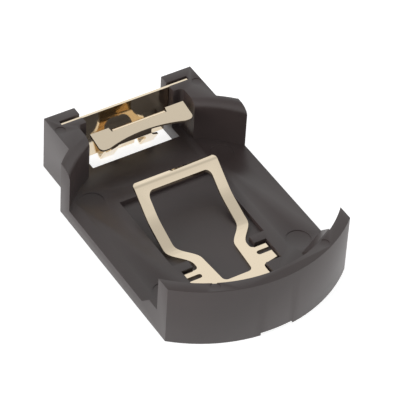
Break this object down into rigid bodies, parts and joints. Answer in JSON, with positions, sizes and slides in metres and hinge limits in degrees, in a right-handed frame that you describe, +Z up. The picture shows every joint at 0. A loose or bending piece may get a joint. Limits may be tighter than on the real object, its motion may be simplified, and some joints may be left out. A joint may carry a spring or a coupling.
{
  "type": "coin cell holder",
  "caption": "Surface-mount holder for a 20 mm coin cell: dark moulded housing with a sprung loop under the cell and a sprung bar behind it.",
  "frame": {"origin": "centre of the cell pocket on the plane of the circuit board", "axes": "+X across the holder, +Y towards the positive contact, +Z up from the board"},
  "size_m": [0.0158, 0.0238, 0.0054],
  "materials": {
    "housing": "satin moulded thermoplastic",
    "contact": "bright gold-plated spring strip"
  },
  "bodies": {
    "root": {"housing": "housing", "positive_contact": "contact", "negative_contact": "contact"}
  },
  "joints": []
}
